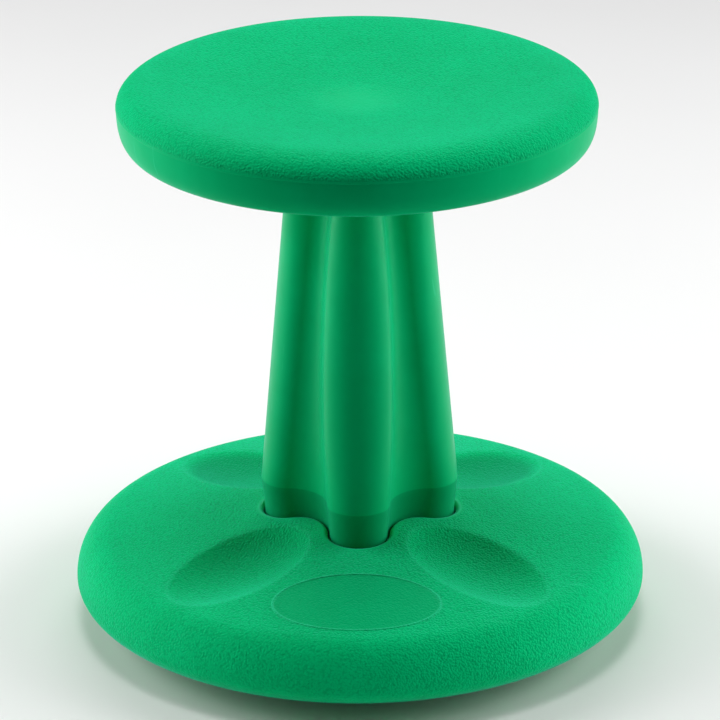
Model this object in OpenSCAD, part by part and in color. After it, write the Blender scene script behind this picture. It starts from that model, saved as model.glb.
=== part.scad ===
// Child's wobble stool. A dished seat sits on a four-lobed column, which stands in a socket in a wide
// round base. The underside of the base is a shallow dome, so the whole stool rocks on the floor and
// rights itself. Seat, column and base are hollow mouldings. Four screws driven up the flutes hold the
// seat on the column, and four driven up from the underside hold the column in the base.
// Millimetres. The origin is on the floor, at the centre of the underside, and +Z points up.

/* [Stool] */
// Height from the floor to the crest of the seat
stool_h = 355.6; // [340:0.1:440]
// Wall thickness of the three hollow mouldings
wall = 4.5; // [3.5:0.1:5.5]

/* [Seat] */
// Widest diameter of the seat
seat_d = 297.6; // [288:0.4:330]
// Thickness of the seat, from its underside to its crest
seat_h = 37.2; // [36:0.2:42]
// Height of the seat's widest ring above its underside
seat_rim_h = 23.6; // [21:0.2:25]
// Diameter of the flat part of the underside
seat_flat_d = 272; // [262:1:276]
// Diameter of the crest, the highest ring of the seat
crest_d = 256; // [246:1:260]
// Depth of the dish below the crest
dish_depth = 12; // [8:0.5:13]
// Depth of the socket that holds the top of the column
seat_socket_depth = 17; // [15:0.5:17]

/* [Column] */
// Width across two lobes at the top of the foot band, the widest place
column_w = 125.2; // [118:0.2:128]
// Width across two lobes where the column meets the seat
column_top_w = 84.8; // [80:0.2:90]
// Height of the top of the foot band above the floor
band_z = 91; // [88:1:98]
// Height of the foot band, over which the column narrows towards its foot
band_h = 21; // [14:1:24]
// Width across two lobes of the foot, inside the base
foot_w = 121; // [114:0.2:122]
// How far the widest place of a lobe lies inwards from the lobe's tip
lobe_depth = 17.2; // [16:0.1:18]
// Width of a lobe in the foot
foot_lobe_w = 36.4; // [35:0.2:39]
// Width of a lobe where the lobes are widest
lobe_w = 44; // [42:0.2:46]
// Height at which the lobes are widest
lobe_wide_z = 165; // [150:1:175]
// Width of a lobe where the column meets the seat
top_lobe_w = 24; // [23:0.2:27]

/* [Base] */
// Widest diameter of the base
base_d = 363.6; // [354:0.4:380]
// Height of the cone that the base's top follows, at its point above the socket
crown_h = 78.2; // [74:0.2:82]
// Angle by which the base's top falls away from level
crown_angle = 8.2; // [7:0.1:9]
// Diameter at which the base's top meets its rounded rim
shoulder_d = 320; // [310:1:324]
// Height of the widest ring of the base
rim_z = 27.4; // [25:0.2:32]
// Diameter at which the rim meets the rocking underside
heel_d = 302.8; // [292:0.4:306]
// Radius of the curve of the rocking underside
rocker_r = 780; // [700:10:1200]
// Diameter of the flat landing at the centre of the underside
landing_d = 56; // [40:1:58]
// Gap between the column's foot and the socket around it
socket_gap = 1.2; // [1:0.1:2.5]

/* [Petals] */
// Length of each petal-shaped recess in the base's top
petal_l = 107; // [96:1:112]
// Width of each recess
petal_w = 64; // [54:1:66]
// Depth of each recess
petal_depth = 8.5; // [5:0.5:10]
// Distance from the axis to the middle of each recess
petal_centre = 105.5; // [104:0.5:110]

/* [Fasteners] */
// Diameter of the screws' shanks
screw_d = 6; // [5:0.5:6.5]
// Length of the screws under the head
screw_l = 22; // [20:1:24]
// Outer diameter of the washers
washer_d = 14; // [12:0.5:15]
// Outer diameter of the threaded inserts
insert_d = 9; // [8.5:0.5:10]
// Length of the threaded inserts
insert_l = 15; // [13:0.5:16]
// Distance from the axis to each screw in the column's flutes
flute_screw_r = 33; // [32:0.5:34]

/* [Hidden] */
$fn = 96;

plastic = [0.02, 0.62, 0.36];
brass = [0.80, 0.64, 0.30];
zinc = [0.72, 0.73, 0.75];

over = 1;                                     // how far a cutting tool runs past the face it opens
eps = 0.01;
curve_steps = 8;
round_handle = 0.55;                          // length of a quarter round's handle over its radius

lobe_count = 4;
lobe_turn = 360 / lobe_count;
half_turn = lobe_turn / 2;                    // from the middle of a lobe to the middle of a flute
lobe_steps = 14;
flute_steps = 8;
taper_steps = 6;                              // outlines between the band and the seat

seat_r = seat_d / 2;
crest_r = crest_d / 2;
seat_flat_r = seat_flat_d / 2;
seat_z = stool_h - seat_h;                    // underside of the seat
seat_widest_z = seat_z + seat_rim_h;
seat_under_handle = 0.61;                     // handles of the curve from the underside up to the rim
seat_side_handle = 0.78;
dish_z = stool_h - dish_depth;
dish_edge_share = 0.86;                       // handles of the dish's curve, over the crest's radius
dish_floor_share = 0.5;
stub_clearance = 0.8;
stub_top_z = seat_z + seat_socket_depth;
seat_vent_d = 7;                              // blow hole in the wall of the seat's socket
seat_vent_z = seat_z + wall + seat_vent_d / 2 + over;

tip_widest = column_w / 2;
tip_top = column_top_w / 2;
tip_foot = foot_w / 2;
foot_z = 18;                                  // the foot stands on the socket's floor
foot_floor = 7;                               // thickness of the foot's closed end
foot_vent_d = 12;                             // blow hole in the foot, above the one in the base
flange_h = 7;
flange_web = 2;                               // closed end of the hollow under the flange
flange_r = tip_top + 2;
loft_spare = 1;                               // length that is cut off each end of a loft

base_r = base_d / 2;
shoulder_r = shoulder_d / 2;
heel_r = heel_d / 2;
landing_r = landing_d / 2;
post_d = 22;                                  // counterbore around each base screw
post_floor_z = 11;
belly_facets = 360;

head_d = 11.5;
head_h = 4;
head_flat_share = 0.3;                        // radius of the head's flat top, over its diameter
head_side_share = 0.8;                        // height of the head's side curve, over its height
drive_d = 5.2;                                // hexagonal drive, across corners
drive_depth = 2.6;
washer_h = 1.2;
screw_clearance = 0.6;
thread_play = 0.2;
insert_collar_d = insert_d + 2.4;
insert_collar_h = 1.2;
insert_groove = 0.7;                          // depth of the groove round an insert, and where it lies
groove_from_share = 0.45;
groove_to_share = 0.6;
pocket_play = 0.1;
boss_r = insert_collar_d / 2 + 3.5;
foot_screw_r = tip_foot - lobe_depth;         // the middle of a lobe

// ---- Curves and outlines ----

// Points along a cubic curve from a to d, with b and c as its handles. The start is left out.
function curve(a, b, c, d) = [for (i = [1:curve_steps]) let (t = i / curve_steps, s = 1 - t)
    s * s * s * a + 3 * s * s * t * b + 3 * s * t * t * c + t * t * t * d];

// Points along an arc about a centre. Both ends are included, unless skip is 1, which leaves both out.
function arc(centre, r, from, to, steps, skip = 0) = [for (i = [skip:steps - skip])
    centre + r * [cos(from + (to - from) * i / steps), sin(from + (to - from) * i / steps)]];

// Half the width of a lobe above the band.
function lobe_half_w(z) =
    lobe_w / 2 - (lobe_w - top_lobe_w) / 2 * pow((z - lobe_wide_z) / (seat_z - lobe_wide_z), 2);

// Outline of the column at a height where its lobes' tips are tip from the axis and each lobe is half_w
// wide to either side. Each lobe is half an ellipse, and each flute is a quarter circle that meets the
// lobes beside it without a corner. A positive inset moves the outline inwards, a negative one outwards.
function lobed_outline(tip, half_w, inset) =
    let (lobe_c = tip - lobe_depth,
         flute_c = lobe_c / cos(half_turn),
         flute_r = lobe_c - half_w + inset)
    [for (k = [0:lobe_count - 1]) let (turn = k * lobe_turn, across = turn + half_turn) each concat(
        [for (i = [0:lobe_steps])
            let (t = 180 * i / lobe_steps - 90,
                 along = lobe_c + (lobe_depth - inset) * cos(t),
                 aside = (half_w - inset) * sin(t))
            along * [cos(turn), sin(turn)] + aside * [-sin(turn), cos(turn)]],
        arc(flute_c * [cos(across), sin(across)], flute_r, turn + 270, turn + 180, flute_steps, 1))];

function foot_outline(inset) = lobed_outline(tip_foot, foot_lobe_w / 2, inset);

function stub_outline(inset) = lobed_outline(tip_top, top_lobe_w / 2, inset);

// Half outline of the seat, moved inwards by t.
function seat_outline(t) =
    let (r = seat_r - t,
         under = seat_z + t,
         top = stool_h - t,
         dish = dish_z - t)
    concat(
        [[0, under], [seat_flat_r, under]],
        curve([seat_flat_r, under], [seat_flat_r + seat_under_handle * (r - seat_flat_r), under],
              [r, seat_widest_z - seat_side_handle * (seat_widest_z - under)], [r, seat_widest_z]),
        curve([r, seat_widest_z], [r, seat_widest_z + round_handle * (top - seat_widest_z)],
              [crest_r + round_handle * (r - crest_r), top], [crest_r, top]),
        curve([crest_r, top], [dish_edge_share * crest_r, top], [dish_floor_share * crest_r, dish],
              [0, dish]));

// Half outline of the base, moved inwards by t.
function base_outline(t) =
    let (r = base_r - t,
         fall = [cos(crown_angle), -sin(crown_angle)],
         shoulder = [shoulder_r, crown_h - shoulder_r * tan(crown_angle)] + t * [fall[1], -fall[0]],
         rock_angle = asin((heel_r - landing_r) / rocker_r),
         rock = [cos(rock_angle), sin(rock_angle)],
         rock_centre = [landing_r, rocker_r],
         heel = rock_centre + (rocker_r - t) * [rock[1], -rock[0]])
    concat(
        [[0, t]],
        arc(rock_centre, rocker_r - t, -90, rock_angle - 90, curve_steps),
        curve(heel, heel + round_handle * (r - heel[0]) * rock,
              [r, rim_z - round_handle * (rim_z - heel[1])], [r, rim_z]),
        curve([r, rim_z], [r, rim_z + round_handle * (shoulder[1] - rim_z)],
              shoulder + round_handle * (r - shoulder[0]) * fall, shoulder),
        [[0, crown_h - t / cos(crown_angle)]]);

// Half outline of a threaded insert, grown by play. The bore is its inner radius.
function insert_outline(bore_r, play) =
    let (r = insert_d / 2 + play,
         collar_r = insert_collar_d / 2 + play,
         collar_top = insert_collar_h + play,
         top = insert_l + play)
    [[bore_r, 0], [collar_r, 0], [collar_r, collar_top], [r, collar_top],
     [r, groove_from_share * top], [r - insert_groove, groove_from_share * top],
     [r - insert_groove, groove_to_share * top], [r, groove_to_share * top],
     [r, top], [bore_r, top]];

// ---- Places ----

// Copies its children to the centre of each lobe of the foot, at height z.
module at_lobes(z) {
    for (k = [0:lobe_count - 1])
        rotate(k * lobe_turn)
            translate([foot_screw_r, 0, z])
                children();
}

// Copies its children to the screw place in each flute, at height z.
module at_flutes(z) {
    for (k = [0:lobe_count - 1])
        rotate(k * lobe_turn + half_turn)
            translate([flute_screw_r, 0, z])
                children();
}

// ---- Fasteners ----

module insert() {
    rotate_extrude()
        polygon(insert_outline((screw_d + thread_play) / 2, 0));
}

module insert_pocket() {
    translate([0, 0, -eps])
        rotate_extrude()
            polygon(insert_outline(0, pocket_play));
}

module washer() {
    difference() {
        cylinder(d = washer_d, h = washer_h);
        translate([0, 0, -over])
            cylinder(d = screw_d + screw_clearance, h = washer_h + 2 * over);
    }
}

// A screw driven upwards: its head is under z = 0 and its shank above.
module screw() {
    difference() {
        union() {
            rotate_extrude()
                polygon(concat([[0, 0], [0, -head_h]],
                               curve([0, -head_h], [head_flat_share * head_d, -head_h],
                                     [head_d / 2, -head_side_share * head_h], [head_d / 2, 0])));
            cylinder(d = screw_d, h = screw_l);
        }
        translate([0, 0, -head_h - over])
            cylinder(d = drive_d, h = drive_depth + over, $fn = 6);
    }
}

// ---- Seat ----

module seat_hollow() {
    difference() {
        rotate_extrude()
            polygon(seat_outline(wall));
        translate([0, 0, seat_z])
            linear_extrude(height = seat_h)
                polygon(stub_outline(-stub_clearance - wall));
        at_flutes(seat_z)
            cylinder(r = boss_r, h = seat_h);
    }
}

module seat_shell() {
    color(plastic)
        difference() {
            rotate_extrude()
                polygon(seat_outline(0));
            seat_hollow();
            translate([0, 0, seat_z - over])
                linear_extrude(height = seat_socket_depth + over)
                    polygon(stub_outline(-stub_clearance));
            at_flutes(seat_z)
                insert_pocket();
            translate([tip_top, 0, seat_vent_z])
                rotate([0, 90, 0])
                    cylinder(d = seat_vent_d, h = stub_clearance + wall + over);
        }
}

module seat_inserts() {
    color(brass)
        at_flutes(seat_z)
            insert();
}

module seat_washers() {
    color(zinc)
        at_flutes(seat_z - flange_h - washer_h)
            washer();
}

module seat_screws() {
    color(zinc)
        at_flutes(seat_z - flange_h - washer_h)
            screw();
}

// ---- Column ----

// A solid through a stack of level outlines, each given as [height, points], with equal numbers of
// points, lowest first.
module loft(sections) {
    count = len(sections[0][1]);
    last = len(sections) - 1;
    points = [for (section = sections) each [for (p = section[1]) [p[0], p[1], section[0]]]];
    sides = [for (s = [0:last - 1], i = [0:count - 1]) let (j = (i + 1) % count)
        [s * count + i, (s + 1) * count + i, (s + 1) * count + j, s * count + j]];
    floor_face = [for (i = [0:count - 1]) i];
    top_face = [for (i = [count - 1:-1:0]) last * count + i];
    polyhedron(points = points, faces = concat([floor_face], sides, [top_face]));
}

// The stack of outlines of the column's lobed walls, moved inwards by t.
function lobed_walls(t) = concat(
    [[foot_z - loft_spare, foot_outline(t)],
     [band_z - band_h, foot_outline(t)]],
    [for (i = [0:taper_steps])
        let (share = i / taper_steps,
             z = band_z + share * (seat_z - loft_spare - band_z))
        [z, lobed_outline(tip_widest + share * (tip_top - tip_widest), lobe_half_w(z), t)]]);

// Keeps the part of its children between two heights, so that its ends are true planes.
module between(floor_z, ceiling_z) {
    intersection() {
        children();
        translate([0, 0, floor_z])
            cylinder(r = base_r, h = ceiling_z - floor_z);
    }
}

module column_hollow() {
    difference() {
        between(foot_z + foot_floor, seat_z - flange_h - flange_web)
            loft(lobed_walls(wall));
        at_lobes(foot_z)
            cylinder(r = boss_r, h = insert_l + wall);
    }
}

module column() {
    stub = stub_outline(stub_clearance);
    stub_walls = [[seat_z - loft_spare, stub], [stub_top_z + loft_spare, stub]];
    color(plastic)
        difference() {
            union() {
                between(foot_z, stub_top_z)
                    loft(concat(lobed_walls(0), stub_walls));
                translate([0, 0, seat_z - flange_h])
                    cylinder(r = flange_r, h = flange_h);
            }
            column_hollow();
            translate([0, 0, foot_z - over])
                cylinder(d = foot_vent_d, h = foot_floor + 2 * over);
            at_flutes(seat_z - flange_h - over)
                cylinder(d = screw_d + screw_clearance, h = flange_h + 2 * over);
            at_lobes(foot_z)
                insert_pocket();
        }
}

module column_inserts() {
    color(brass)
        at_lobes(foot_z)
            insert();
}

// ---- Base ----

// The tool that hollows a petal, grown by t. Its belly is an arc turned about a line that lies along
// the petal, so that the recess is petal_l long, petal_w wide and petal_depth deep.
module petal_tool(t) {
    half_l = petal_l / 2;
    half_w = petal_w / 2;
    across_r = 1 / (2 * petal_depth / (half_w * half_w) - sin(crown_angle) / petal_centre);
    along_r = half_l * half_l / (2 * petal_depth);
    translate([petal_centre, 0, crown_h - petal_centre * tan(crown_angle)])
        rotate([0, 90 + crown_angle, 0])
            translate([petal_depth - across_r, 0, 0])
                rotate_extrude()
                    intersection() {
                        translate([across_r - along_r, 0])
                            circle(r = along_r + t, $fn = belly_facets);
                        translate([0, -petal_l])
                            square([across_r + t, 2 * petal_l]);
                    }
}

module petals(t) {
    for (k = [0:lobe_count - 1])
        rotate(k * lobe_turn + half_turn)
            petal_tool(t);
}

module base_hollow() {
    difference() {
        rotate_extrude()
            polygon(base_outline(wall));
        petals(wall);
        translate([0, 0, foot_z - wall])
            linear_extrude(height = crown_h)
                polygon(foot_outline(-socket_gap - wall));
        at_lobes(0)
            cylinder(d = post_d + 2 * wall, h = foot_z);
    }
}

module base_shell() {
    color(plastic)
        difference() {
            rotate_extrude()
                polygon(base_outline(0));
            base_hollow();
            petals(0);
            translate([0, 0, foot_z])
                linear_extrude(height = crown_h)
                    polygon(foot_outline(-socket_gap));
            at_lobes(-over)
                cylinder(d = post_d, h = post_floor_z + over);
            at_lobes(0)
                cylinder(d = screw_d + screw_clearance, h = foot_z + over);
            translate([0, 0, foot_z - wall - over])
                cylinder(d = foot_vent_d, h = wall + 2 * over);
        }
}

module base_washers() {
    color(zinc)
        at_lobes(post_floor_z - washer_h)
            washer();
}

module base_screws() {
    color(zinc)
        at_lobes(post_floor_z - washer_h)
            screw();
}

seat_shell();
seat_inserts();
column();
seat_washers();
seat_screws();
base_shell();
column_inserts();
base_washers();
base_screws();
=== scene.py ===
"""Child's wobble stool: a dished seat on a four-lobed column, in a wide round base that rocks on the floor.

The seat, column and base are skinned from rings of points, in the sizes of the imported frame. Metres.
"""

from math import asin, atan2, copysign, cos, hypot, pi, radians, sin, sqrt, tan, tau

import bpy
from mathutils import Matrix, Vector


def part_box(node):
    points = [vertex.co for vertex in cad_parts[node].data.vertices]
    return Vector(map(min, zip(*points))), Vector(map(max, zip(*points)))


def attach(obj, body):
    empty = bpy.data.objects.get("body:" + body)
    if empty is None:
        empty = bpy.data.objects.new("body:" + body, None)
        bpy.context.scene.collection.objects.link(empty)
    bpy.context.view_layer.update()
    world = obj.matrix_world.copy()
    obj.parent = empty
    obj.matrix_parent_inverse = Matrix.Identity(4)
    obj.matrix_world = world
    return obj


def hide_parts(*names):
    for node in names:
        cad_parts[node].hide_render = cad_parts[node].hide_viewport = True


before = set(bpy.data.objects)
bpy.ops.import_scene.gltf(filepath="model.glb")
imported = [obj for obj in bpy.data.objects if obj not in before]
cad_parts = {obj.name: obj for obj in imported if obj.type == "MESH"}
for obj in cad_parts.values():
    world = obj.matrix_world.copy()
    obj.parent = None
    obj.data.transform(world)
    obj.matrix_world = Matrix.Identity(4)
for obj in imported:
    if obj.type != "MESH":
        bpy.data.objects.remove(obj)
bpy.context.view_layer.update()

MM = 0.001
OVER = 1 * MM                           # how far a cutter runs past the face it opens

# ---- Sizes from the frame ----

SEAT_LOW, SEAT_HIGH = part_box("seat_shell")
COLUMN_LOW, COLUMN_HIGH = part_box("column")
BASE_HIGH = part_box("base_shell")[1]
SEAT_SCREWS_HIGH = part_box("seat_screws")[1]
BASE_SCREWS_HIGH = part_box("base_screws")[1]
SEAT_INSERTS_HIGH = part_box("seat_inserts")[1]
WASHERS_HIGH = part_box("base_washers")[1]

# ---- Seat ----

SEAT_R = SEAT_HIGH[0]
SEAT_Z = SEAT_LOW[2]
CREST_Z = SEAT_HIGH[2]
CREST_R = SEAT_R - 20.8 * MM
SEAT_FLAT_R = SEAT_R - 12.8 * MM        # where the flat underside meets the rim's curve
SEAT_WIDEST_Z = SEAT_Z + 23.6 * MM
DISH_Z = CREST_Z - 12 * MM
PARTING_H = 0.25 * MM                   # how far the mould's parting line stands proud
PARTING_W = 1.0 * MM
UNDER_HANDLE = 0.61                     # handles of the curve from the underside up to the rim
SIDE_HANDLE = 0.78
DISH_EDGE_SHARE = 0.86                  # handles of the dish's curve, over the crest's radius
DISH_FLOOR_SHARE = 0.5
SOCKET_HEADROOM = 0.3 * MM              # room over the stub's end

# ---- Column ----

TIP_WIDEST = COLUMN_HIGH[0]
FOOT_Z = COLUMN_LOW[2]
STUB_TOP_Z = COLUMN_HIGH[2]
TIP_TOP = 42.4 * MM
TIP_FOOT = 60.5 * MM
BAND_Z = 91 * MM                        # the widest place, at the top of the foot band
BAND_BOTTOM_Z = BAND_Z - 21 * MM
FLANGE_R = TIP_TOP + 2 * MM
FLANGE_H = 7 * MM
FLANGE_EDGE = 1.2 * MM                  # rounding of the flange's lower edge
FOOT_EDGE = 2.5 * MM                    # rounding of the foot's lower edge
BAND_BLEND = 0.6 * MM                   # half the height of the rounding at the top of the band
STUB_CLEARANCE = 0.8 * MM
LOBE_DEPTH = 17.2 * MM                  # from a lobe's tip in to where the lobe is widest
FOOT_LOBE_HALF_W = 18.2 * MM
LOBE_HALF_W = 22 * MM                   # where the lobes are widest
LOBE_WIDE_Z = 165 * MM
TOP_LOBE_HALF_W = 12 * MM

# ---- Base ----

BASE_R = BASE_HIGH[0]
CROWN_H = 78.2 * MM                     # point of the cone that the base's top follows
CROWN_FALL = tan(radians(8.2))          # how far the top drops for each metre outwards
RIM_Z = 27.4 * MM                       # height of the widest ring
LANDING_R = 28 * MM
ROCKER_R = 780 * MM
HEEL_R = BASE_R - 30.4 * MM             # where the rocking curve meets the rim's curve
SHOULDER_R = BASE_R - 21.8 * MM         # where the rim's curve meets the crown
SOCKET_GAP = 1.2 * MM
LIP_R = 3.2 * MM                        # rounding of the socket's mouth
PETAL_CENTRE = 105.5 * MM
PETAL_HALF_L = 53.5 * MM
PETAL_HALF_W = 32 * MM
PETAL_DEPTH = 8.5 * MM
PETAL_EDGE = 0.7 * MM                   # softness of a petal's edge
OVAL_Y = -123 * MM                      # middle of the oval line on the front of the base
OVAL_HALF_X = 51.8 * MM
OVAL_HALF_Y = 30.5 * MM
OVAL_LINE_HALF_W = 0.75 * MM
OVAL_LINE_PROUD = 0.45 * MM
OVAL_LINE_SUNK = 0.8 * MM
SPREAD_R = 84 * MM                      # where the rings round the socket have turned into circles

# ---- Fasteners ----

HEAD_R = 5.75 * MM
HOLE_R = 3.3 * MM
POST_R = 11 * MM                        # counterbore round each base screw
POST_MOUTH = 1.2 * MM                   # rounding of the counterbore's mouth
POST_FLOOR_Z = WASHERS_HIGH[2]
POCKET_R = 4.6 * MM                     # pocket of an insert, and of its collar
COLLAR_R = 5.8 * MM
COLLAR_H = 1.3 * MM
POCKET_H = SEAT_INSERTS_HIGH[2] - SEAT_Z + 0.1 * MM
FOOT_SCREW_R = BASE_SCREWS_HIGH[0] - HEAD_R
FLUTE_SCREW_R = (SEAT_SCREWS_HIGH[0] - HEAD_R) * sqrt(2)

HALF_ROUND = 0.55                       # handle of a curve that stands for a quarter round


def spots(r, start):
    """Four places round the axis, the first in the direction start."""
    return [(r * cos(start + k * pi / 2), r * sin(start + k * pi / 2)) for k in range(4)]


LOBE_SPOTS = spots(FOOT_SCREW_R, 0)
FLUTE_SPOTS = spots(FLUTE_SCREW_R, pi / 4)


# ---- Curves and rings ----

def curve(a, b, c, d, steps):
    """Points along a cubic curve from a to d with the handles b and c. The start is left out."""
    points = []
    for i in range(1, steps + 1):
        t = i / steps
        s = 1 - t
        weights = (s * s * s, 3 * s * s * t, 3 * s * t * t, t * t * t)
        points.append(tuple(sum(w * p[k] for w, p in zip(weights, (a, b, c, d))) for k in range(2)))
    return points


def straight(a, b, steps):
    """Points along a straight line from a to b. The start is left out."""
    return [tuple(p + (q - p) * k / steps for p, q in zip(a, b)) for k in range(1, steps + 1)]


def quarter_turn(steps):
    """Angles from zero to a quarter turn, both ends included."""
    return [k * pi / (2 * steps) for k in range(steps + 1)]


def circle_ring(r, z, count):
    """A level circle whose points match those of a lobed ring of the same count."""
    start = -pi / 6
    return [(r * cos(start + tau * i / count), r * sin(start + tau * i / count), z) for i in range(count)]


def lobe_half_w(z):
    """Half the width of a lobe at that height."""
    above = max(z, BAND_Z)
    fade = ((above - LOBE_WIDE_Z) / (SEAT_Z - LOBE_WIDE_Z)) ** 2
    half_w = LOBE_HALF_W - (LOBE_HALF_W - TOP_LOBE_HALF_W) * fade
    share = min(max((z - BAND_BOTTOM_Z) / (BAND_Z - BAND_BOTTOM_Z), 0), 1)
    return FOOT_LOBE_HALF_W + (half_w - FOOT_LOBE_HALF_W) * share


def lobed_ring(tip, half_w, grow, z, count):
    """The column's outline, with its lobes' tips tip from the axis, moved outwards by grow.

    Each lobe is half an ellipse, and each flute is a quarter circle between two lobes.
    """
    lobe_c = tip - LOBE_DEPTH
    flute_r = lobe_c - half_w - grow
    lobe_steps = count // 6
    flute_steps = count // 12
    ring = []
    for k in range(4):
        turn = k * pi / 2
        for i in range(lobe_steps):
            t = pi * i / lobe_steps - pi / 2
            along = lobe_c + (LOBE_DEPTH + grow) * cos(t)
            aside = (half_w + grow) * sin(t)
            ring.append((along * cos(turn) - aside * sin(turn), along * sin(turn) + aside * cos(turn), z))
        for i in range(flute_steps):
            t = -pi / 2 - pi / 2 * i / flute_steps
            along = lobe_c + flute_r * cos(t)
            aside = lobe_c + flute_r * sin(t)
            ring.append((along * cos(turn) - aside * sin(turn), along * sin(turn) + aside * cos(turn), z))
    return ring


def foot_ring(grow, z, count):
    return lobed_ring(TIP_FOOT, FOOT_LOBE_HALF_W, grow, z, count)


def stub_ring(grow, z, count):
    return lobed_ring(TIP_TOP, TOP_LOBE_HALF_W, grow, z, count)


def outside_foot(x, y):
    """About how far a point lies outside the foot's outline."""
    lobe_c = TIP_FOOT - LOBE_DEPTH
    u = max(abs(x), abs(y))
    v = min(abs(x), abs(y))
    if u > lobe_c:
        return (hypot((u - lobe_c) / LOBE_DEPTH, v / FOOT_LOBE_HALF_W) - 1) * LOBE_DEPTH
    return lobe_c - FOOT_LOBE_HALF_W - hypot(u - lobe_c, v - lobe_c)


def spread(a, b, steps):
    """Rings that turn ring a into ring b in that many steps. Ring a is left out."""
    rings = []
    for k in range(1, steps + 1):
        share = k / steps
        rings.append([tuple(p + (q - p) * share for p, q in zip(u, v)) for u, v in zip(a, b)])
    return rings


def new_piece(name, points, faces):
    mesh = bpy.data.meshes.new(name)
    mesh.from_pydata(points, [], faces)
    mesh.polygons.foreach_set("use_smooth", [True] * len(mesh.polygons))
    piece = bpy.data.objects.new(name, mesh)
    bpy.context.scene.collection.objects.link(piece)
    return piece


def skin(name, rings):
    """A closed mesh through a stack of rings, each end closed by a fan of faces."""
    count = len(rings[0])
    points = [p for ring in rings for p in ring]
    faces = []
    for s in range(len(rings) - 1):
        for i in range(count):
            j = (i + 1) % count
            faces.append((s * count + i, s * count + j, (s + 1) * count + j, (s + 1) * count + i))
    for ring, first, flip in ((rings[0], 0, True), (rings[-1], (len(rings) - 1) * count, False)):
        centre = len(points)
        points.append((0.0, 0.0, ring[0][2]))
        for i in range(count):
            pair = (first + i, first + (i + 1) % count)
            faces.append((centre, *(reversed(pair) if flip else pair)))
    return new_piece(name, points, faces)


def turned(name, outline, place):
    """A closed solid turned about an upright axis at place = (x, y), from (radius, height) pairs."""
    piece = skin(name, [circle_ring(r, z, 64) for r, z in outline])
    piece.data.transform(Matrix.Translation((*place, 0)))
    return piece


def combine(piece, tools, operation):
    """Cuts the closed tools out of the piece or joins them to it, then removes them."""
    for tool in tools:
        modifier = piece.modifiers.new("combine", "BOOLEAN")
        modifier.operation = operation
        modifier.solver = "EXACT"
        modifier.object = tool
    evaluated = piece.evaluated_get(bpy.context.evaluated_depsgraph_get())
    mesh = bpy.data.meshes.new_from_object(evaluated)
    piece.modifiers.clear()
    piece.data = mesh
    for tool in tools:
        bpy.data.objects.remove(tool)


def sharpen(piece, angle):
    """Shades edges that turn by more than the angle, in degrees, as corners."""
    piece.data.set_sharp_from_angle(angle=radians(angle))


def screw_holes(places, low_z, high_z):
    return [turned("hole", [(HOLE_R, low_z), (HOLE_R, high_z)], place) for place in places]


def insert_pockets(places, z):
    outline = [(COLLAR_R, z - OVER), (COLLAR_R, z + COLLAR_H),
               (POCKET_R, z + COLLAR_H), (POCKET_R, z + POCKET_H)]
    return [turned("pocket", outline, place) for place in places]


# ---- Surface layers ----

# Painted shade: the foot band, the low rim and the petals are darkened in colour where shade falls on them
BAND_PAINTED_SHADE = 0.75                        # how dark the shade layer makes each place: painted shade on the foot band, low on the rim and in the petals, and a darker tone inside the oval
OVAL_TONE = 0.5
RIM_PAINTED_SHADE = 0.5
BACK_PETAL_PAINTED_SHADES = (0.44, 1.0)          # painted shade at the front and the back of a petal
FRONT_PETAL_PAINTED_SHADES = (0.06, 0.31)
# painted highlight, with wear, along the petals' lips
PETAL_LIP_WEAR_AND_HIGHLIGHT = 0.4
OVAL_GRAIN = 0.5                        # depth of the grain inside the oval


def ramp(value, low, high):
    """Zero where value is below low and one where it is above high, smooth between."""
    t = min(max((value - low) / (high - low), 0), 1)
    return t * t * (3 - 2 * t)


def set_layer(piece, name, value_at):
    """Keeps a number from 0 to 1 on each point of the piece, for its material to read."""
    layer = piece.data.attributes.new(name, "FLOAT", "POINT")
    layer.data.foreach_set("value", [value_at(*vertex.co) for vertex in piece.data.vertices])


def seat_grain(x, y, z):
    """Grained over the top, smooth under the parting line."""
    return ramp(z, SEAT_WIDEST_Z + PARTING_W, SEAT_WIDEST_Z + 3 * MM)


def column_painted_shade(x, y, z):
    """Painted shade: darker in the foot band, which faces a little downwards, than above it."""
    return BAND_PAINTED_SHADE * (1 - ramp(z, BAND_Z - 0.8 * MM, BAND_Z))


def from_oval(x, y):
    """How far out a point lies from the middle of the oval, which is one on the oval's line."""
    return hypot(x / OVAL_HALF_X, (y - OVAL_Y) / OVAL_HALF_Y)


def inside_oval(x, y):
    """One inside the oval and zero outside its line."""
    return 1 - ramp(from_oval(x, y), 0.97, 1.0)


def on_top(z):
    """One on the base's top and zero from its widest ring down."""
    return ramp(z, RIM_Z, RIM_Z + 5 * MM)


def base_grain(x, y, z):
    """Grained over the top and the rim, less so in the oval, smooth round the socket and underneath."""
    above = ramp(z, RIM_Z - 10 * MM, RIM_Z + 2 * MM)
    past_lip = ramp(outside_foot(x, y), SOCKET_GAP + LIP_R, SOCKET_GAP + LIP_R + 2.5 * MM)
    return above * past_lip * (1 - (1 - OVAL_GRAIN) * inside_oval(x, y))


def base_painted_shade_and_tone(x, y, z):
    """Darker inside the oval, and painted shade low on the rim and in the petals, most of all at the back
    of each.
    """
    past_centre = y - copysign(PETAL_CENTRE / sqrt(2), y)
    front_shade_level, back_shade_level = BACK_PETAL_PAINTED_SHADES if y > 0 else FRONT_PETAL_PAINTED_SHADES
    petal_shade_level = front_shade_level + (back_shade_level - front_shade_level) * ramp(past_centre, -25 * MM, 25 * MM)
    painted_petal_shade = ramp(petal_depth(x, y), 0, 4 * MM) * petal_shade_level
    low_on_rim = 1 - ramp(z, RIM_Z - 14 * MM, RIM_Z)
    return max(painted_petal_shade * on_top(z), OVAL_TONE * inside_oval(x, y) * on_top(z), RIM_PAINTED_SHADE * low_on_rim)


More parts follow.
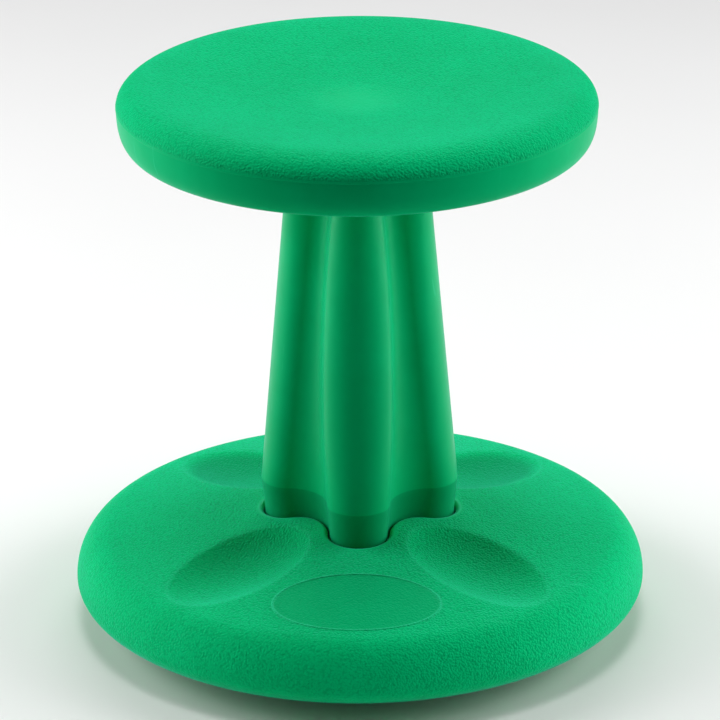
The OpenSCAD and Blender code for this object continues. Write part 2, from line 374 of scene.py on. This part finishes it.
def base_wear_and_painted_highlight(x, y, z):
    """Paler along the petals' lips, the oval line, and the socket's mouth at its left and right: edge wear
    together with a painted highlight.
    """
    lip = 1 - ramp(abs(outside_foot(x, y) - SOCKET_GAP - 0.7 * LIP_R), 0, 2.2 * MM)
    at_sides = ramp(abs(x), 40 * MM, 56 * MM)
    petal_lip = 1 - ramp(abs(petal_depth(x, y)), 0, 0.8 * MM)
    oval = 1 - ramp(abs(from_oval(x, y) - 1), 0.01, 0.03)
    return max(lip * at_sides, PETAL_LIP_WEAR_AND_HIGHLIGHT * petal_lip, oval) * on_top(z)


# ---- Seat ----

SEAT_COUNT = 384


def seat_profile():
    """(radius, height) pairs from the underside round the rim and over the dish."""
    side_drop = SEAT_WIDEST_Z - SEAT_Z
    side_rise = CREST_Z - SEAT_WIDEST_Z
    heel = (SEAT_FLAT_R, SEAT_Z)
    side_r = SEAT_R - PARTING_H
    widest = (side_r, SEAT_WIDEST_Z)
    crest = (CREST_R, CREST_Z)
    lower = curve(heel, (SEAT_FLAT_R + UNDER_HANDLE * (side_r - SEAT_FLAT_R), SEAT_Z),
                  (side_r, SEAT_WIDEST_Z - SIDE_HANDLE * side_drop), widest, 22)
    parting = [(side_r, SEAT_WIDEST_Z + PARTING_W * 0.2),
               (SEAT_R, SEAT_WIDEST_Z + PARTING_W * 0.45),
               (SEAT_R, SEAT_WIDEST_Z + PARTING_W * 0.7),
               (side_r, SEAT_WIDEST_Z + PARTING_W)]
    upper = curve(parting[-1], (side_r, SEAT_WIDEST_Z + HALF_ROUND * side_rise),
                  (CREST_R + HALF_ROUND * (SEAT_R - CREST_R), CREST_Z), crest, 20)
    dish = curve(crest, (DISH_EDGE_SHARE * CREST_R, CREST_Z), (DISH_FLOOR_SHARE * CREST_R, DISH_Z),
                 (0, DISH_Z), 64)
    return [heel, *lower, *parting, *upper, *dish[:-1]]


def make_seat():
    """The seat: a moulding with a lobed socket underneath for the column's stub."""
    socket_top = stub_ring(STUB_CLEARANCE, STUB_TOP_Z + SOCKET_HEADROOM, SEAT_COUNT)
    mouth = stub_ring(STUB_CLEARANCE, SEAT_Z, SEAT_COUNT)
    collar_r = 0.4 * SEAT_R             # where the rings round the socket have turned into circles
    rings = [socket_top, mouth]
    rings += spread(mouth, circle_ring(collar_r, SEAT_Z, SEAT_COUNT), 6)
    flat = straight((collar_r, SEAT_Z), (SEAT_FLAT_R, SEAT_Z), 12)
    rings += [circle_ring(r, z, SEAT_COUNT) for r, z in flat[:-1] + seat_profile()]
    seat = skin("seat_shell_visual", rings)
    combine(seat, insert_pockets(FLUTE_SPOTS, SEAT_Z), "DIFFERENCE")
    sharpen(seat, 50)
    set_layer(seat, "grain", seat_grain)
    return seat


# ---- Column ----

COLUMN_COUNT = 384


def column_levels():
    """(tip, height) pairs up the column's walls, from the foot's rounded edge to the flange."""
    levels = [(TIP_FOOT - FOOT_EDGE * (1 - sin(a)), FOOT_Z + FOOT_EDGE * (1 - cos(a)))
              for a in quarter_turn(4)]
    band_bottom = (TIP_FOOT, BAND_BOTTOM_Z)
    widest = (TIP_WIDEST, BAND_Z)
    lean = (TIP_WIDEST - TIP_FOOT) / (BAND_Z - BAND_BOTTOM_Z)
    taper = (TIP_TOP - TIP_WIDEST) / (SEAT_Z - BAND_Z)
    under_blend = (TIP_WIDEST - lean * BAND_BLEND, BAND_Z - BAND_BLEND)
    over_blend = (TIP_WIDEST + taper * BAND_BLEND, BAND_Z + BAND_BLEND)
    top_z = SEAT_Z - FLANGE_H
    top = (TIP_WIDEST + taper * (top_z - BAND_Z), top_z)
    levels += straight((TIP_FOOT, FOOT_Z), band_bottom, 8)
    levels += straight(band_bottom, under_blend, 8)
    levels += curve(under_blend, widest, widest, over_blend, 6)
    levels += straight(over_blend, top, 48)
    return levels


def make_column():
    """The column: four lobes and four flutes, a foot band, a flange under the seat and a stub above it."""
    rings = [lobed_ring(tip, lobe_half_w(z), 0, z, COLUMN_COUNT) for tip, z in column_levels()]
    flange_z = SEAT_Z - FLANGE_H
    rings += spread(rings[-1], circle_ring(FLANGE_R - FLANGE_EDGE, flange_z, COLUMN_COUNT), 6)
    for a in quarter_turn(4)[1:]:
        r = FLANGE_R - FLANGE_EDGE * (1 - sin(a))
        rings.append(circle_ring(r, flange_z + FLANGE_EDGE * (1 - cos(a)), COLUMN_COUNT))
    rings.append(circle_ring(FLANGE_R, SEAT_Z, COLUMN_COUNT))
    rings.append(stub_ring(-STUB_CLEARANCE, SEAT_Z, COLUMN_COUNT))
    rings.append(stub_ring(-STUB_CLEARANCE, STUB_TOP_Z, COLUMN_COUNT))
    column = skin("column_visual", rings)
    combine(column, insert_pockets(LOBE_SPOTS, FOOT_Z)
            + screw_holes(FLUTE_SPOTS, flange_z - OVER, SEAT_Z + OVER), "DIFFERENCE")
    sharpen(column, 50)
    set_layer(column, "painted_shade_and_tone", column_painted_shade)
    return column


# ---- Base ----

BASE_COUNT = 576


def crown_height(r):
    """Height of the cone that the base's top follows, at that radius."""
    return CROWN_H - CROWN_FALL * r


def petal_depth(x, y):
    """How far the nearest petal's floor lies under the crown: negative outside the petals."""
    u = (abs(x) + abs(y)) / sqrt(2)
    v = (abs(x) - abs(y)) / sqrt(2)
    return PETAL_DEPTH * (1 - ((u - PETAL_CENTRE) / PETAL_HALF_L) ** 2 - (v / PETAL_HALF_W) ** 2)


def dented(x, y, z):
    """The height of a point of the base's top, let down softly into a petal where one lies there."""
    floor_z = crown_height(hypot(x, y)) - petal_depth(x, y)
    return (z + floor_z - sqrt((z - floor_z) ** 2 + PETAL_EDGE**2)) / 2


def top_height(x, y):
    """Height of the base's top there, petals included."""
    return dented(x, y, crown_height(hypot(x, y)))


def base_rim():
    """(radius, height) pairs from the shoulder over the rim to the heel, then along the rocker."""
    crown_angle = atan2(CROWN_FALL, 1)
    rock_angle = asin((HEEL_R - LANDING_R) / ROCKER_R)
    shoulder = (SHOULDER_R, crown_height(SHOULDER_R))
    widest = (BASE_R, RIM_Z)
    heel = (HEEL_R, ROCKER_R * (1 - cos(rock_angle)))
    out = HALF_ROUND * (BASE_R - SHOULDER_R)
    back = HALF_ROUND * (BASE_R - HEEL_R)
    upper = curve(shoulder, (SHOULDER_R + out * cos(crown_angle), shoulder[1] - out * sin(crown_angle)),
                  (BASE_R, RIM_Z + HALF_ROUND * (shoulder[1] - RIM_Z)), widest, 30)
    lower = curve(widest, (BASE_R, RIM_Z - HALF_ROUND * (RIM_Z - heel[1])),
                  (HEEL_R + back * cos(rock_angle), heel[1] + back * sin(rock_angle)), heel, 24)
    rocker = [(LANDING_R + ROCKER_R * sin(a), ROCKER_R * (1 - cos(a)))
              for a in (rock_angle * (1 - k / 30) for k in range(1, 31))]
    return upper, lower + rocker


def oval_ridge():
    """A low rounded line along the oval on the front of the base, partly sunk in it."""
    around, across = 300, 12
    points, faces = [], []
    for i in range(around):
        a = tau * i / around
        out = Vector((cos(a) / OVAL_HALF_X, sin(a) / OVAL_HALF_Y)).normalized()
        for k in range(across):
            b = tau * k / across
            x = OVAL_HALF_X * cos(a) + out[0] * OVAL_LINE_HALF_W * cos(b)
            y = OVAL_Y + OVAL_HALF_Y * sin(a) + out[1] * OVAL_LINE_HALF_W * cos(b)
            rise = OVAL_LINE_PROUD if sin(b) > 0 else OVAL_LINE_SUNK
            points.append((x, y, crown_height(hypot(x, y)) + rise * sin(b)))
            faces.append((i * across + k, (i + 1) % around * across + k,
                          (i + 1) % around * across + (k + 1) % across, i * across + (k + 1) % across))
    return new_piece("oval_ridge", points, faces)


def counterbore(place):
    """The tool for one base screw: a counterbore with a rounded mouth, and the screw's hole above it."""
    rounding = [(POST_R + POST_MOUTH * (1 - sin(a)), POST_MOUTH * (1 - cos(a))) for a in quarter_turn(6)]
    outline = [(POST_R + POST_MOUTH, -OVER), *rounding, (POST_R, POST_FLOOR_Z),
               (HOLE_R, POST_FLOOR_Z), (HOLE_R, FOOT_Z + OVER)]
    return turned("counterbore", outline, place)


def make_base():
    """The base: a moulding with a lobed socket, four petals, an oval line and a rocking underside."""
    lip_bottom_z = crown_height(TIP_FOOT) - LIP_R
    rings = [foot_ring(SOCKET_GAP, FOOT_Z, BASE_COUNT)]
    rings += spread(rings[0], foot_ring(SOCKET_GAP, lip_bottom_z, BASE_COUNT), 6)
    for a in quarter_turn(8)[1:]:
        lip = foot_ring(SOCKET_GAP + LIP_R * (1 - cos(a)), 0, BASE_COUNT)
        rings.append([(x, y, top_height(x, y) - LIP_R * (1 - sin(a))) for x, y, _ in lip])
    inner = foot_ring(SOCKET_GAP + LIP_R, 0, BASE_COUNT)
    level_rings = spread(inner, circle_ring(SPREAD_R, 0, BASE_COUNT), 30)
    level_rings += [circle_ring(r, z, BASE_COUNT) for r, z in straight((SPREAD_R, 0), (SHOULDER_R, 0), 56)]
    for ring in level_rings:
        rings.append([(x, y, top_height(x, y)) for x, y, _ in ring])
    upper, lower = base_rim()
    for r, z in upper:
        rings.append([(x, y, dented(x, y, h)) for x, y, h in circle_ring(r, z, BASE_COUNT)])
    rings += [circle_ring(r, z, BASE_COUNT) for r, z in lower]
    rings += [circle_ring(LANDING_R * k / 4, 0, BASE_COUNT) for k in (3, 2, 1)]
    base = skin("base_shell_visual", rings)
    combine(base, [oval_ridge()], "UNION")
    combine(base, [counterbore(place) for place in LOBE_SPOTS], "DIFFERENCE")
    sharpen(base, 50)
    set_layer(base, "grain", base_grain)
    set_layer(base, "painted_shade_and_tone", base_painted_shade_and_tone)
    set_layer(base, "wear_and_painted_highlight", base_wear_and_painted_highlight)
    return base


# ---- Materials ----

GRAIN_SCALE = 680.0                     # leather grain: cells and wrinkles for each metre, and its height
WRINKLE_SCALE = 760.0
GRAIN_HEIGHT = 0.6 * MM
PEEL_SCALE = 70.0                       # the soft waviness of moulded plastic, and its share of the height
PEEL_SHARE = 0.25
SMOOTH_ROUGHNESS = 0.34
GRAIN_ROUGHNESS = 0.25                  # what the grain adds to the roughness
PAINTED_SHADE_AND_TONE_SHARE = 0.72                      # how far each effect goes at its full strength
VALLEY_PAINTED_SHADE_SHARE = 0.35
SCRATCH_SHARE = 0.2
WEAR_AND_HIGHLIGHT_SHARE = 0.3
SCUFF_TURNS = (0.5, -0.9)               # the two ways that the scuffs run
# the pale green of scratches and worn edges, also used for painted highlight along edges
WORN_AND_HIGHLIGHT_GREEN = (0.06, 0.75, 0.45, 1)
SPECULAR_TINT = (0.0, 0.9, 0.8, 1)
SHEEN_TINT = (0.12, 0.85, 0.85, 1)


class Nodes:
    """A short way to build a material's node tree."""

    def __init__(self, name):
        self.material = bpy.data.materials.new(name)
        self.material.use_nodes = True
        self.tree = self.material.node_tree
        self.shader = self.tree.nodes["Principled BSDF"]

    def add(self, kind, **settings):
        """A node of that kind. Settings that name an input set it, or link it if the value is a socket."""
        node = self.tree.nodes.new("ShaderNode" + kind)
        for key, value in settings.items():
            if key.startswith("in_"):
                spot = key[3:]
                self.put(node.inputs[int(spot) if spot.isdigit() else spot.replace("_", " ")], value)
            else:
                setattr(node, key, value)
        return node

    def put(self, spot, value):
        if isinstance(value, bpy.types.NodeSocket):
            self.tree.links.new(value, spot)
        else:
            spot.default_value = value

    def math(self, operation, a, b=0.0):
        return self.add("Math", operation=operation, in_0=a, in_1=b).outputs[0]

    def ramp(self, value, low, high):
        """Zero where value is low and one where it is high, smooth between."""
        node = self.add("MapRange", interpolation_type="SMOOTHSTEP", in_0=value, in_1=low, in_2=high)
        return node.outputs[0]

    def layer(self, name):
        """A number that set_layer has put on the piece."""
        return self.add("Attribute", attribute_name=name).outputs["Fac"]

    def mix(self, share, a, b):
        node = self.add("Mix", data_type="RGBA")
        self.put(node.inputs["Factor"], share)
        self.put(node.inputs["A"], a)
        self.put(node.inputs["B"], b)
        return node.outputs["Result"]

    def noise(self, place, scale, detail=2.0, roughness=0.5):
        node = self.add("TexNoise", in_Vector=place, in_Scale=scale, in_Detail=detail)
        node.inputs["Roughness"].default_value = roughness
        return node.outputs[0]

    def dab(self, name, value):
        self.put(self.shader.inputs[name], value)


def scuffs(n, place, turn):
    """One along sparse short faint scratches that run at that turn, and zero elsewhere."""
    stretched = n.add("Mapping", in_Vector=place, in_Rotation=(0, 0, turn), in_Scale=(14, 260, 30))
    streaks = n.noise(stretched.outputs[0], 1.0, 2.0)
    patch = n.ramp(n.noise(place, 11.0), 0.55, 0.68)
    return n.math("MULTIPLY", n.ramp(streaks, 0.68, 0.74), patch)


def leather_grain(n, place):
    """Height of the leather grain: rounded cells with wrinkles over them."""
    cells = n.add("TexVoronoi", feature="F1", in_Vector=place, in_Scale=GRAIN_SCALE)
    wrinkles = n.noise(place, WRINKLE_SCALE, 3.0, 0.6)
    return n.math("ADD", n.math("MULTIPLY", cells.outputs["Distance"], -0.8), wrinkles)


def mottled(n, place, deep, light):
    """A colour that wanders softly between deep and light."""
    cloud = n.math("MULTIPLY", n.noise(place, 9.0, 3.0), 0.7)
    flow = n.math("MULTIPLY", n.noise(place, 60.0, 3.0), 0.3)
    return n.mix(n.ramp(n.math("ADD", cloud, flow), 0.35, 0.65), deep, light)


def plastic_colour(n, place, grain, deep, light):
    """The mottled green, darker where the shade layer paints shade or a darker tone, with painted shade in
    the grain's valleys, and paler along scratches and where the wear layer paints worn edges with a painted
    highlight.
    """
    # painted shade from the shade layer, which also holds the oval's darker tone
    painted_shade_and_tone = n.math("MULTIPLY", n.layer("painted_shade_and_tone"), PAINTED_SHADE_AND_TONE_SHARE)
    # painted shade in the grain's valleys
    painted_valley_shade = n.math("MULTIPLY", n.ramp(grain, 0.15, -0.15), n.layer("grain"))
    body = n.mix(painted_shade_and_tone, mottled(n, place, deep, light), (0, deep[1] * 0.5, deep[2] * 0.5, 1))
    grained = n.mix(n.math("MULTIPLY", painted_valley_shade, VALLEY_PAINTED_SHADE_SHARE), body, (0, deep[1] * 0.55, deep[2] * 0.5, 1))
    scratches = n.math("MAXIMUM", *[scuffs(n, place, turn) for turn in SCUFF_TURNS])
    # scratches, and worn edges with painted highlight, mixed towards a pale green
    wear_and_highlight = n.math("ADD", n.math("MULTIPLY", scratches, SCRATCH_SHARE),
                  n.math("MULTIPLY", n.layer("wear_and_painted_highlight"), WEAR_AND_HIGHLIGHT_SHARE))
    return n.mix(wear_and_highlight, grained, WORN_AND_HIGHLIGHT_GREEN)


def moulded_plastic(name, deep, light, glare, gloss):
    """Moulded plastic, with a leather grain as deep as the piece's grain layer says."""
    n = Nodes(name)
    place = n.add("TexCoord").outputs["Object"]
    mask = n.layer("grain")
    grain = leather_grain(n, place)
    n.dab("Base Color", plastic_colour(n, place, grain, deep, light))
    rough = n.math("ADD", n.math("MULTIPLY", mask, GRAIN_ROUGHNESS), SMOOTH_ROUGHNESS)
    rubbed = n.ramp(n.noise(place, 140.0, 4.0, 0.7), 0.58, 0.75)
    n.dab("Roughness", n.math("ADD", rough, n.math("MULTIPLY", rubbed, 0.06)))
    bump = n.add("Bump", in_Strength=1.0, in_Distance=GRAIN_HEIGHT)
    orange_peel = n.math("MULTIPLY", n.noise(place, PEEL_SCALE, 2.0), PEEL_SHARE)
    n.put(bump.inputs["Height"], n.math("ADD", n.math("MULTIPLY", grain, mask), orange_peel))
    n.dab("Normal", bump.outputs[0])
    n.dab("IOR", 1.5)
    n.dab("Specular IOR Level", gloss)
    n.dab("Specular Tint", SPECULAR_TINT)
    n.dab("Sheen Weight", glare)
    n.dab("Sheen Roughness", 0.4)
    n.dab("Sheen Tint", SHEEN_TINT)
    return n.material


def metal(name, colour, dull, rough, mark_scale):
    """Plated or turned metal: fine marks and patches that are duller and darker."""
    n = Nodes(name)
    place = n.add("TexCoord").outputs["Object"]
    patches = n.ramp(n.noise(place, 260.0, 4.0, 0.6), 0.35, 0.7)
    n.dab("Base Color", n.mix(patches, colour, dull))
    n.dab("Metallic", 1.0)
    n.dab("Roughness", n.math("ADD", rough, n.math("MULTIPLY", patches, 0.18)))
    bump = n.add("Bump", in_Strength=0.35, in_Distance=0.05 * MM)
    n.put(bump.inputs["Height"], n.noise(place, mark_scale, 3.0, 0.7))
    n.dab("Normal", bump.outputs[0])
    return n.material


def floor_material():
    """White paper that darkens towards the viewer, so that it throws little light on the stool's front."""
    n = Nodes("floor_paper")
    place = n.add("TexCoord").outputs["Object"]
    ahead = n.add("SeparateXYZ", in_Vector=place).outputs["Y"]
    paper = n.mix(n.noise(place, 3.0, 2.0), (0.83, 0.83, 0.83, 1), (0.86, 0.86, 0.86, 1))
    n.dab("Base Color", n.mix(n.ramp(ahead, -0.8, -0.35), (0.22, 0.22, 0.22, 1), paper))
    n.dab("Roughness", 0.9)
    n.dab("Specular IOR Level", 0.1)
    return n.material


def paint(piece, material):
    piece.data.materials.clear()
    piece.data.materials.append(material)


# ---- The pieces, in place ----

GREEN_DEEP = (0.0, 0.470, 0.155)
GREEN_LIGHT = (0.0, 0.520, 0.180)


def scaled(colour, painted_light_scale):
    """The colour made paler or darker as painted light, with full alpha."""
    return (*(painted_light_scale * part for part in colour), 1)


# Maker, node, slot, paleness (painted light: the base paler and the column darker than the seat, though all
# three are one plastic), strength of the sheen, and gloss
MOULDINGS = ((make_seat, "seat_shell", "seat_plastic", 1.0, 0.25, 0.02),
             (make_column, "column", "column_plastic", 0.92, 0.4, 0.12),
             (make_base, "base_shell", "base_plastic", 1.17, 0.4, 0.03))

for make, node, slot, painted_light_scale, glare, gloss in MOULDINGS:
    piece = make()
    paint(piece, moulded_plastic(slot, scaled(GREEN_DEEP, painted_light_scale), scaled(GREEN_LIGHT, painted_light_scale), glare, gloss))
    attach(piece, "root")
    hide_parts(node)

zinc = metal("zinc_plate", (0.62, 0.63, 0.66, 1), (0.42, 0.43, 0.46, 1), 0.28, 900.0)
brass = metal("turned_brass", (0.78, 0.58, 0.25, 1), (0.55, 0.38, 0.15, 1), 0.30, 1200.0)
for node, material in (("seat_screws", zinc), ("base_screws", zinc), ("seat_washers", zinc),
                       ("base_washers", zinc), ("seat_inserts", brass), ("column_inserts", brass)):
    paint(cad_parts[node], material)


# ---- Camera, floor and lights ----

LIGHT_AIM = Vector((0, 0, 0.2))


def make_camera():
    """A long lens from the front, a little to the right of -Y, that looks down on the stool."""
    pitch = radians(22.335)
    swing = radians(1.0175)
    roll = radians(-0.372)
    distance = 2.652
    aim = Vector((0.8 * MM, 0, 170.55 * MM))
    back = distance * Vector((0, -cos(pitch), sin(pitch)))
    lens = bpy.data.cameras.new("camera")
    lens.lens = 210
    lens.sensor_width = 36
    camera = bpy.data.objects.new("camera", lens)
    camera.matrix_world = (Matrix.Rotation(swing, 4, "Z") @ Matrix.Translation(aim + back)
                           @ Matrix.Rotation(pi / 2 - pitch, 4, "X") @ Matrix.Rotation(roll, 4, "Z"))
    bpy.context.scene.collection.objects.link(camera)
    bpy.context.scene.camera = camera


def make_floor():
    half = 8.0
    floor = new_piece("floor", [(-half, -half, 0), (half, -half, 0), (half, half, 0), (-half, half, 0)],
                      [(0, 1, 2, 3)])
    paint(floor, floor_material())


def soft_box(name, place, width, height, power):
    """A rectangular soft light at place, facing the stool."""
    lamp = bpy.data.lights.new(name, "AREA")
    lamp.shape = "RECTANGLE"
    lamp.size = width
    lamp.size_y = height
    lamp.energy = power
    light = bpy.data.objects.new(name, lamp)
    light.location = place
    light.rotation_euler = (LIGHT_AIM - Vector(place)).to_track_quat("-Z", "Y").to_euler()
    bpy.context.scene.collection.objects.link(light)


def make_world(strength):
    world = bpy.data.worlds.new("studio")
    world.use_nodes = True
    world.node_tree.nodes["Background"].inputs["Color"].default_value = (1, 1, 1, 1)
    world.node_tree.nodes["Background"].inputs["Strength"].default_value = strength
    bpy.context.scene.world = world


make_camera()
make_floor()
make_world(0.02)
soft_box("top_light", (0, 0, 1.8), 0.9, 0.9, 14)
soft_box("back_light", (0, 2.0, 1.8), 2.0, 0.9, 18)
soft_box("left_light", (-1.7, 0.35, 0.75), 1.6, 1.4, 34)
soft_box("right_light", (1.7, 0.25, 0.72), 1.6, 1.4, 31)
bpy.context.scene.view_settings.view_transform = "Standard"
